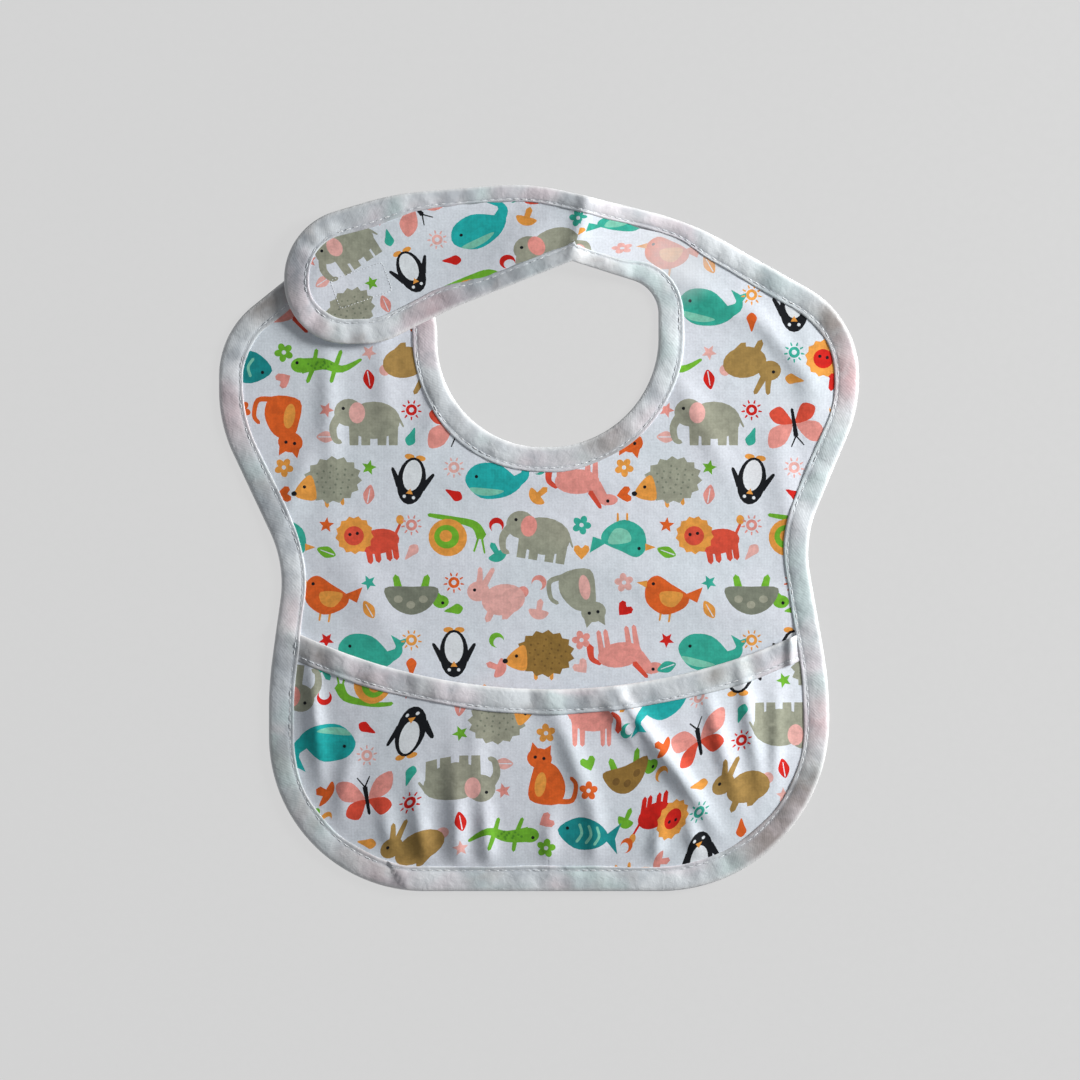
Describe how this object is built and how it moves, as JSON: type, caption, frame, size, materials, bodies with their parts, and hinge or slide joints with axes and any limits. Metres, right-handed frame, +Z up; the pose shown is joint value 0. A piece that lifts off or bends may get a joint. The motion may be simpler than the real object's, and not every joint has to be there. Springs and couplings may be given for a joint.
{
  "type": "feeding bib",
  "caption": "Child's wipe-clean feeding bib lying flat: printed cloth edged with folded tape, a catch-all pocket, and a neck strap that closes on a shoulder with hook-and-loop tape.",
  "frame": {"origin": "centre of the bib's outline box, on the table it lies on", "axes": "+X to the right of a person facing the bib, +Y from the hem to the neck strap, +Z up from the table"},
  "size_m": [0.256, 0.2821, 0.0104],
  "materials": {
    "printed_cloth": "satin woven polyester with a printed pattern",
    "waterproof_film": "satin polyurethane film",
    "binding_tape": "satin folded bias tape",
    "hook_tape": "nylon hooks",
    "loop_tape": "brushed nylon pile",
    "thread": "polyester sewing thread"
  },
  "bodies": {
    "bib": {"body_panel": "printed_cloth", "body_backing": "waterproof_film", "edge_binding": "binding_tape", "edge_stitching": "thread", "loop_patch": "loop_tape", "loop_patch_stitching": "thread"},
    "pocket": {"pocket_panel": "printed_cloth", "pocket_backing": "waterproof_film", "pocket_binding": "binding_tape", "pocket_stitching": "thread"},
    "strap": {"strap_panel": "printed_cloth", "strap_backing": "waterproof_film", "strap_binding": "binding_tape", "strap_stitching": "thread"},
    "tab": {"tab_panel": "printed_cloth", "tab_backing": "waterproof_film", "tab_binding": "binding_tape", "tab_stitching": "thread", "hook_patch": "hook_tape", "hook_patch_stitching": "thread"}
  },
  "joints": [
    {"name": "strap_lift", "type": "hinge", "parent": "bib", "child": "strap", "pos_m": [0.0164, 0.1248, 0.0089], "axis": [0.2199, 0.9755, 0], "range_deg": [0, 120]},
    {"name": "tab_peel", "type": "hinge", "parent": "strap", "child": "tab", "pos_m": [-0.042, 0.1135, 0.00445], "axis": [-0.3338, 0.9426, 0], "range_deg": [0, 55]},
    {"name": "pocket_open", "type": "hinge", "parent": "bib", "child": "pocket", "pos_m": [0.004, -0.1304, 0.0011], "axis": [1, 0, 0], "range_deg": [0, 20]}
  ]
}
